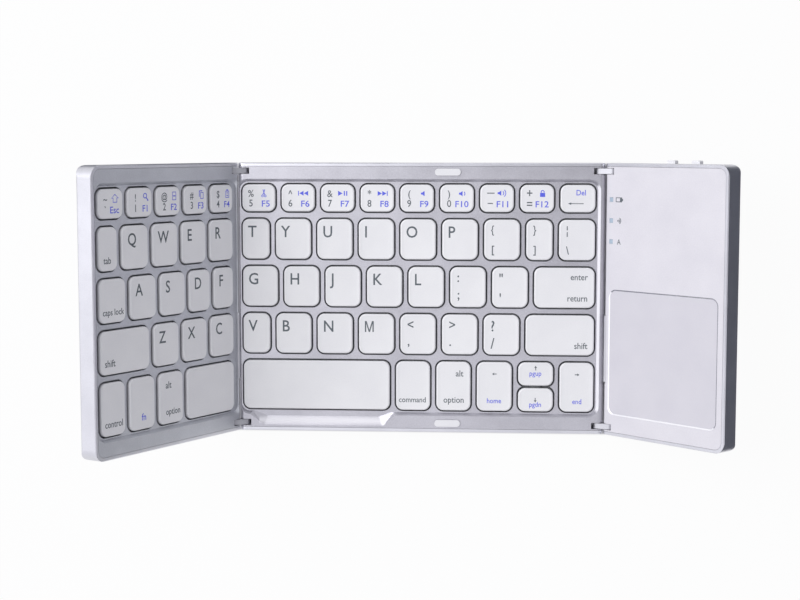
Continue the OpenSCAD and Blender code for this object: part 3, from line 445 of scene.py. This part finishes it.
def ink(name, code):
    """Screen ink: matt, a little uneven where the film is thin."""
    material, tree = new_material(name)
    place = add(tree, "ShaderNodeTexCoord").outputs["Object"]
    film = add(tree, "ShaderNodeTexNoise", {"Vector": place, "Scale": 1000 / ink_grain_mm})
    thin = add(tree, "ShaderNodeMapRange", {"Value": film.outputs["Fac"], "To Min": 0.0,
                                            "To Max": ink_wear})
    tone = add(tree, "ShaderNodeMix", {"Factor": thin.outputs["Result"], 6: linear(code),
                                       7: linear(WHITE)}, data_type="RGBA")
    shader = add(tree, "ShaderNodeBsdfPrincipled", {"Base Color": tone.outputs[2],
                                                    "Roughness": 0.6})
    add(tree, "ShaderNodeOutputMaterial", {"Surface": shader.outputs[0]})
    return material


inks = {"slate": ink("slate_ink", "#3F4B55"), "blue": ink("blue_ink", "#4050E0")}


def word(bm, text, height, x, y, z, side, width=narrow):
    """Prints a word with capitals of the given height, its baseline at y and its side at x."""
    curve = bpy.data.curves.new("word", "FONT")
    curve.body = text
    curve.size = height / font_caps
    curve.align_x = side
    curve.extrude = ink_t / 2
    curve.offset = bolder * curve.size
    curve.resolution_u = 3
    letters = bpy.data.objects.new("word", curve)
    mesh = bpy.data.meshes.new_from_object(letters)
    mesh.transform(Matrix.Translation((x, y, z)) @ Matrix.Diagonal((width, 1, 1, 1)))
    bm.from_mesh(mesh)
    bpy.data.objects.remove(letters)
    bpy.data.curves.remove(curve)
    bpy.data.meshes.remove(mesh)


def sign(bm, name, x, y, z):
    """Prints a sign with its middle at x, y: each shape filled, or only its outline."""
    for points, line in signs[name]:
        face = bm.faces.new([bm.verts.new((x + px, y + py, z - ink_t / 2)) for px, py in points])
        face.normal_update()
        faces = [face]
        if line:
            faces = bmesh.ops.inset_individual(bm, faces=[face], thickness=line)["faces"]
            bmesh.ops.delete(bm, geom=[face], context="FACES_ONLY")
        raised = bmesh.ops.extrude_face_region(bm, geom=faces, use_keep_orig=True)["geom"]
        bmesh.ops.translate(bm, vec=(0, 0, ink_t),
                            verts=[v for v in raised if isinstance(v, bmesh.types.BMVert)])


def bar(x0, x1, y0, y1):
    """Corners of a rectangle."""
    return [(x0, y0), (x1, y0), (x1, y1), (x0, y1)]


def arc(radius, start, stop, steps=10):
    """Points of an arc about the middle, or of a full circle, whose last point is left out."""
    count = steps if stop - start == 360 else steps + 1
    turns = [math.radians(start + (stop - start) * i / steps) for i in range(count)]
    return [(radius * math.cos(a), radius * math.sin(a)) for a in turns]


def moved(points, dx, dy, turn=0):
    """The points turned by quarter turns about the middle and then moved."""
    for _ in range(turn):
        points = [(-y, x) for x, y in points]
    return [(x + dx, y + dy) for x, y in points]


# Every sign is drawn about its own middle, but for the capital M, which starts at its lower left
# corner. The second value of a shape is its outline's width, or 0 where the shape is filled.
line_w = 0.32
ring_w = 0.22
battery_w = 0.36
speaker = [(-0.8, -0.35), (-0.35, -0.35), (0.5, -0.95), (0.5, 0.95), (-0.35, 0.35), (-0.8, 0.35)]
wave = arc(1.0, -48, 48) + arc(0.72, 48, -48)
far_wave = arc(1.75, -48, 48) + arc(1.47, 48, -48)
shackle = (arc(0.66, 0, 180) + [(-0.66, -0.3), (-0.36, -0.3)]
           + arc(0.36, 180, 0) + [(0.36, -0.3), (0.66, -0.3)])
pointer = [(-0.82, 0), (-0.1, 0.5), (-0.1, 0.14), (0.82, 0.14), (0.82, -0.14), (-0.1, -0.14),
           (-0.1, -0.5)]
signs = {
    "home": [([(-1.8, 0.05), (-1.0, 0.05), (-1.0, -1.35), (1.0, -1.35), (1.0, 0.05),
               (1.8, 0.05), (0, 1.5)], line_w)],
    "lens": [(moved(arc(0.95, 0, 360, 16), -0.3, 0.5), line_w),
             ([(0.2, -0.35), (1.0, -1.4), (1.35, -1.1), (0.55, -0.1)], 0)],
    "block": [(bar(-0.95, 0.95, -1.45, 1.45), line_w), (bar(-0.6, 0.6, -0.18, 0.18), 0)],
    "copy": [(bar(-0.5, 1.15, -1.45, 0.9), line_w),
             ([(-1.2, -0.7), (-0.88, -0.7), (-0.88, 1.2), (0.55, 1.2), (0.55, 1.52),
               (-1.2, 1.52)], 0)],
    "paste": [(bar(-1.0, 1.0, -1.45, 1.0), line_w), (bar(-0.5, 0.5, 1.1, 1.5), 0),
              (bar(-0.45, 0.45, 0.1, 0.38), 0), (bar(-0.45, 0.45, -0.78, -0.5), 0)],
    "scissors": [([(-0.5, -0.52), (-0.22, -0.64), (0, -0.1), (0.22, -0.64), (0.5, -0.52),
                   (0.14, 0.3), (0.46, 1.32), (0.2, 1.4), (0, 0.75), (-0.2, 1.4),
                   (-0.46, 1.32), (-0.14, 0.3)], 0),
                 (moved(arc(0.46, 0, 360, 12), -0.52, -1.0), ring_w),
                 (moved(arc(0.46, 0, 360, 12), 0.52, -1.0), ring_w)],
    "back": [(bar(-1.85, -1.55, -0.85, 0.85), 0), ([(-1.45, 0), (0.1, -0.85), (0.1, 0.85)], 0),
             ([(0.2, 0), (1.75, -0.85), (1.75, 0.85)], 0)],
    "play": [([(-1.7, -0.9), (-0.1, 0), (-1.7, 0.9)], 0), (bar(0.35, 0.75, -0.85, 0.85), 0),
             (bar(1.2, 1.6, -0.85, 0.85), 0)],
    "next": [([(-1.75, -0.85), (-0.2, 0), (-1.75, 0.85)], 0),
             ([(-0.1, -0.85), (1.45, 0), (-0.1, 0.85)], 0), (bar(1.55, 1.85, -0.85, 0.85), 0)],
    "mute": [(moved(speaker, 0.3, 0), 0)],
    "quiet": [(moved(speaker, -0.4, 0), 0), (moved(wave, 0.1, 0), 0)],
    "loud": [(moved(speaker, -0.9, 0), 0), (moved(wave, -0.4, 0), 0),
             (moved(far_wave, -0.4, 0), 0)],
    "lock": [(bar(-0.9, 0.9, -1.3, 0.15), 0), (moved(shackle, 0, 0.5), 0)],
    "long_arrow": [([(-2.8, 0), (-1.6, -0.42), (-1.6, -0.13), (2.8, -0.13), (2.8, 0.13),
                     (-1.6, 0.13), (-1.6, 0.42)], 0)],
    "dash": [(bar(-1.35, 1.35, -0.17, 0.17), 0)],
    "minus": [(bar(-0.95, 0.95, -0.17, 0.17), 0)],
    "capital_m": [([(0, 0), (0, 4), (0.62, 4), (1.6, 0.75), (2.58, 4), (3.2, 4), (3.2, 0),
                    (2.74, 0), (2.74, 3.1), (1.82, 0), (1.38, 0), (0.46, 3.1), (0.46, 0)], 0)],
    "left": [(pointer, 0)],
    "down": [(moved(pointer, 0, 0, 1), 0)],
    "right": [(moved(pointer, 0, 0, 2), 0)],
    "up": [(moved(pointer, 0, 0, 3), 0)],
    "battery": [(bar(-1.6, 1.25, -0.85, 0.85), battery_w), (bar(0.3, 1.0, -0.6, 0.6), 0),
                (bar(1.25, 1.65, -0.4, 0.4), 0)],
    "radio": [(moved(arc(0.3, 0, 360, 12), -0.5, 0), 0),
              (moved(arc(0.85, -55, 55) + arc(0.55, 55, -55), -0.5, 0), 0),
              (moved(arc(1.4, -55, 55) + arc(1.1, 55, -55), -0.5, 0), 0)],
}
# A print is a word or sign, its ink and height, which of its sides is placed, and where: from the
# cap's left edge or, below 0, its right edge, and from its front edge or, below 0, its back edge.
# A sign has a size of its own, so its height is 0. The labels of the back row have a height and a
# width, since they are set wider than the rest.
sign_column = 3.2
label_size = (2.15, 1.08)


def number_key(upper, lower, above, label, shift=0.0):
    """A back-row key: two signs on the left, and on the right a blue sign over a blue label."""
    return [(upper, "slate", 2.4, "CENTER", sign_column + shift, -4.5),
            (lower, "slate", 2.4, "CENTER", sign_column + shift, 1.8),
            (above, "blue", 0, "SIGN", -4.1 + 1.5 * shift, -3.2),
            (label, "blue", label_size, "RIGHT", -1.8 + 0.3 * shift, 1.75)]


def letter_keys(letters, left=2.0):
    """Letter keys, each with a capital in its back left corner."""
    return [[(letter, "slate", 4.0, "LEFT", left, -6.55)] for letter in letters]


def pair_key(upper, lower, height, high, low):
    """A key with two signs on its left side, one above the other."""
    return [(upper, "slate", height, "LEFT", 2.4, high),
            (lower, "slate", height, "LEFT", 2.5, low)]


dash_key = [("dash", "slate", 0, "SIGN", 3.8, -3.0), ("minus", "slate", 0, "SIGN", 3.6, 3.1),
            ("loud", "blue", 0, "SIGN", -4.1, -3.0),
            ("F11", "blue", label_size, "RIGHT", -1.35, 1.75)]
equals_key = [("+", "slate", 3.0, "CENTER", 3.3, -4.5), ("=", "slate", 3.0, "CENTER", 3.3, 1.4),
              ("lock", "blue", 0, "SIGN", -4.1, -3.0),
              ("F12", "blue", label_size, "RIGHT", -1.8, 1.75)]
prints = {
    "left_number_keys": [number_key("~", "`", "home", "Esc", 0.3),
                         number_key("!", "1", "lens", "F1", 0.7),
                         number_key("@", "2", "block", "F2", 0.8),
                         number_key("#", "3", "copy", "F3", 0.8),
                         number_key("$", "4", "paste", "F4", 0.8)],
    "tab_key": [[("tab", "slate", 2.15, "LEFT", 2.2, 2.4)]],
    "left_top_letter_keys": letter_keys("QWER", 2.7),
    "caps_lock_key": [[("caps lock", "slate", 2.05, "LEFT", 1.4, 2.5)]],
    "left_home_letter_keys": letter_keys("ASDF", 2.6),
    "left_shift_key": [[("shift", "slate", 2.25, "LEFT", 2.0, 2.6)]],
    "left_bottom_letter_keys": letter_keys("ZXC", 2.6),
    "control_key": [[("control", "slate", 2.2, "LEFT", 1.6, 2.9)]],
    "function_key": [[("fn", "blue", 2.3, "LEFT", 5.7, 3.1)]],
    "left_alt_key": [[("alt", "slate", 2.3, "LEFT", 3.3, -5.4),
                      ("option", "slate", 2.15, "LEFT", 3.3, 3.2)]],
    "number_keys": [number_key("%", "5", "scissors", "F5"), number_key("^", "6", "back", "F6"),
                    number_key("&", "7", "play", "F7"), number_key("*", "8", "next", "F8"),
                    number_key("(", "9", "mute", "F9"), number_key(")", "0", "quiet", "F10"),
                    dash_key, equals_key],
    "backspace_key": [[("Del", "blue", 1.9, "RIGHT", -3.3, -3.7),
                       ("long_arrow", "slate", 0, "SIGN", 5.4, 3.1)]],
    "top_letter_keys": letter_keys("TYUIOP"),
    "bracket_keys": [pair_key("{", "[", 2.6, -4.9, 2.5), pair_key("}", "]", 2.6, -4.9, 2.5),
                     pair_key("¦", "\\", 2.8, -5.1, 2.1)],
    "home_letter_keys": letter_keys("GHJKL"),
    "quote_keys": [pair_key(":", ";", 3.4, -5.3, 2.9), pair_key("\"", "'", 3.4, -5.8, 1.5)],
    "enter_key": [[("enter", "slate", 2.15, "RIGHT", -2.4, -4.4),
                   ("return", "slate", 2.15, "RIGHT", -2.4, 2.4)]],
    "bottom_letter_keys": [*letter_keys("VBN"), [("capital_m", "slate", 0, "SIGN", 2.2, -6.55)]],
    "comma_keys": [pair_key("<", ",", 3.3, -5.4, 3.1), pair_key(">", ".", 3.3, -5.4, 3.1),
                   pair_key("?", "/", 3.7, -5.9, 2.3)],
    "right_shift_key": [[("shift", "slate", 2.15, "RIGHT", -2.3, 2.4)]],
    "command_key": [[("command", "slate", 1.9, "RIGHT", -1.4, 2.9)]],
    "right_alt_key": [[("alt", "slate", 2.15, "RIGHT", -2.6, -5.3),
                       ("option", "slate", 2.15, "RIGHT", -2.3, 2.9)]],
    "left_arrow_key": [[("left", "slate", 0, "SIGN", 6.3, -4.3),
                        ("home", "blue", 1.75, "CENTER", 6.2, 2.9)]],
    "up_arrow_key": [[("up", "slate", 0, "SIGN", 6.3, -2.0),
                      ("pgup", "blue", 1.75, "CENTER", 6.2, -4.8)]],
    "down_arrow_key": [[("down", "slate", 0, "SIGN", 6.2, -4.3),
                        ("pgdn", "blue", 1.75, "CENTER", 6.2, 1.7)]],
    "right_arrow_key": [[("right", "slate", 0, "SIGN", 6.3, -4.3),
                         ("end", "blue", 1.75, "CENTER", 6.3, 2.9)]],
}
for side, nodes in key_rows.items():
    for node in nodes:
        if node not in prints:
            continue
        films = {}
        for ((x0, x1), (y0, y1), (_, top)), marks in zip(cap_boxes[node], prints[node]):
            z = top - dish_depth + ink_rise
            for what, colour, height, anchor, u, v in marks:
                if colour not in films:
                    films[colour] = bmesh.new()
                film = films[colour]
                x = x0 + u if u >= 0 else x1 + u
                y = y0 + v if v >= 0 else y1 + v
                if anchor == "SIGN":
                    sign(film, what, x, y, z)
                elif height == label_size:
                    word(film, what, height[0], x, y, z, anchor, height[1])
                else:
                    word(film, what, height, x, y, z, anchor)
        for colour, film in films.items():
            piece(f"{node}_{colour}_print", film, panel_place(side), inks[colour],
                  node + "_body")

# Touchpad and its trim
# A matt plate of PET film on a stiff sheet, smooth to the finger and a shade greyer than the cover.
# The slope that leads down to it is a thin metal ring set into the cover, with a painted highlight
# on two of its sides and painted shade on the other two.
pad_film = surface("matt_pet_film", "#D0CED7", "#D6D4DC", 0.30, 0.002, (0.46, 0.54))
finish_node(["touchpad"], pad_film)

# The ring lies trim_in outside the plate, is trim_w wide and leads down by trim_drop. A face is on
# a side of it if its normal leans that way by more than trim_lean.
pad_r = 2.4
pad_steps = 8
trim_in = 0.10
trim_w = 0.42
trim_drop = 0.25
trim_t = 0.03
trim_top = 7.53
trim_weld = 0.0001
trim_lean = 0.001
# Painted highlight in front and next to the keys, a near-white coat that makes the ring a pale
# line, and painted shade on the other two sides, a darker grey metal that mirrors the keys and is a
# fine dark line.
highlight_trim = surface("painted_highlight_trim", "#F4F4F9", "#FCFCFF", 0.6, 0.0005, (0.34, 0.42), Metallic=0.3)
shade_trim = surface("painted_shade_trim_metal", "#9A9BA3", "#A8A9B1", 0.6, 0.0005, (0.22, 0.28),
                   Metallic=1.0)
(pad_x0, pad_x1), (pad_y0, pad_y1), _ = solids_of("touchpad", panel_place("right"))[0]
grown = 2 * (trim_in + trim_w)
for side, way, material in [("near", 1, highlight_trim), ("far", -1, shade_trim)]:
    bm = bmesh.new()
    bmesh.ops.create_grid(bm, x_segments=1, y_segments=1, size=0.5, matrix=Matrix.LocRotScale(
        Vector(((pad_x0 + pad_x1) / 2, (pad_y0 + pad_y1) / 2, trim_top)), None,
        (pad_x1 - pad_x0 + grown, pad_y1 - pad_y0 + grown, 1)))
    bmesh.ops.bevel(bm, geom=bm.verts[:], offset=pad_r + grown / 2, segments=pad_steps,
                    profile=0.5, affect="VERTICES", material=-1)
    floor = bm.faces[:][0]
    bmesh.ops.inset_individual(bm, faces=[floor], thickness=trim_w, depth=-trim_drop)
    bm.normal_update()
    # Each copy keeps only its own sides: the lit ones for the painted highlight, the far ones for
    # the painted shade.
    others = [face for face in bm.faces if way * (face.normal.x + face.normal.y) <= trim_lean]
    bmesh.ops.delete(bm, geom=others, context="FACES")
    bmesh.ops.solidify(bm, geom=bm.faces[:], thickness=trim_t)
    piece("touchpad_trim_" + side, bm, panel_place("right"), material, "right_wing",
          merge=trim_weld)

# Bumper pads and feet
# Soft pads glued into shallow recesses: dull white silicone on the rims, where a folded wing comes
# to rest, and feet of dark grey rubber below, nearly black and without gloss.
white_silicone = surface("white_silicone", "#E8E8ED", "#EEEEF2", 0.5, 0.002, (0.42, 0.52))
finish_node(["bumper_pads"], white_silicone)
grey_rubber = surface("grey_rubber", "#2E2E31", "#3A3A3E", 0.4, 0.010, (0.62, 0.75))
finish_node(["centre_feet", "left_feet", "right_feet"], grey_rubber)

# Links and pins
# Two die-cast zinc bars at each seam, tumbled smooth and sprayed with a satin silver lacquer, which
# makes them an even light grey. They turn on bright ground steel pins, which the blocks of the
# panels hold and hide.
lacquered_zinc = surface("lacquered_zinc", "#B6B6BD", "#C4C4CA", 0.4, 0.003, (0.50, 0.58),
                         Metallic=0.7)
finish_node(["left_links", "right_links"], lacquered_zinc)
pin_steel = surface("ground_steel", "#9A9A9E", "#B0B0B4", 0.2, 0.002, (0.22, 0.30), Metallic=1.0)
finish_node(["centre_hinge_pins", "left_hinge_pins", "right_hinge_pins"], pin_steel)

# Cable ribbons
# A rounded sleeve of pale TPE over the flat cable that crosses each seam, so that no finger
# touches the cable when a wing is raised. It is a soft, dull line between the panels.
pale_tpe = surface("pale_tpe", "#DCDCE4", "#E6E6EC", 0.4, 0.004, (0.44, 0.55))
finish_node(["left_ribbon", "right_ribbon"], pale_tpe)

# Layers under the keys
# Grey silicone domes over a membrane of printed film. They are all that shows in the narrow gap
# round each key, which is a dark line and not a black one.
grey_silicone = surface("grey_silicone", "#B0B3B7", "#BCBFC3", 0.5, 0.006, (0.50, 0.62))
finish_node(["centre_domes", "left_domes"], grey_silicone)
printed_film = surface("printed_film", "#B2B6B9", "#BFC3C6", 0.6, 0.004, (0.30, 0.42))
finish_node(["centre_membrane", "left_membrane"], printed_film)

# Boards
# Glass-fibre boards under a glossy dark green solder mask: the touch sensor, glued under its
# plate, and the main board, which stands on posts with its processor, lights and switches.
solder_mask = surface("green_solder_mask", "#0C4426", "#12573A", 0.8, 0.004, (0.24, 0.36))
finish_node(["touch_board", "main_board"], solder_mask)

# Battery
# A lithium pouch in aluminium-laminate foil, glued to the tray's floor. The foil is a dull silver
# with soft creases.
pouch_foil = surface("pouch_foil", "#B4B4B8", "#C6C6CA", 1.5, 0.030, (0.34, 0.48), Metallic=1.0)
finish_node(["battery"], pouch_foil)

# Charging socket
# A shell folded from tinned sheet steel with a tongue inside, soldered to the board and open to
# the back. The tin is bright and faintly clouded.
tinned_steel = surface("tinned_steel", "#B8B8BC", "#CACACE", 0.6, 0.004, (0.24, 0.34),
                       Metallic=1.0)
finish_node(["charging_socket"], tinned_steel)

# Light windows and the marks beside them
# Three small light guides of polished, tinted PMMA, grey blue when unlit, that stand on the board's
# lights. The marks are printed, back to front: a battery for charging, waves for the radio link
# and a letter for capitals.
tinted_pmma = surface("tinted_pmma", "#A6B8CB", "#BBCAD9", 0.5, 0.001, (0.08, 0.14), IOR=1.49)
finish_node(["light_windows"], tinted_pmma)
cover_top = 7.5
mark_x = 7.2
mark_height = 1.8
marks = bmesh.new()
windows = solids_of("light_windows", panel_place("right"))
for (_, (y0, y1), _), mark in zip(sorted(windows, key=lambda box: -box[1][0]),
                                  ["battery", "radio", "A"]):
    y = (y0 + y1) / 2
    z = cover_top + ink_rise
    if mark in signs:
        sign(marks, mark, mark_x, y, z)
    else:
        word(marks, mark, mark_height, mark_x, y - mark_height / 2, z, "CENTER")
piece("cover_marks", marks, panel_place("right"), inks["slate"], "right_wing")

# Switch knob and pairing button
# Two small controls that stand out of the back wall of the touchpad wing, moulded in the same
# satin white ABS as the keys. Each is held by a flange behind the wall.
finish_node(["power_knob", "pairing_button"], satin_abs)

# Screws
# Small flat-headed screws of blackened steel, nearly black with a faint shine. They are sunk into
# the trays' undersides and hold the decks and the cover to their trays.
blackened_steel = surface("blackened_steel", "#3A3A3D", "#4A4A4E", 0.3, 0.002, (0.32, 0.42),
                          Metallic=1.0)
finish_node(["centre_screws", "left_screws", "right_screws"], blackened_steel)
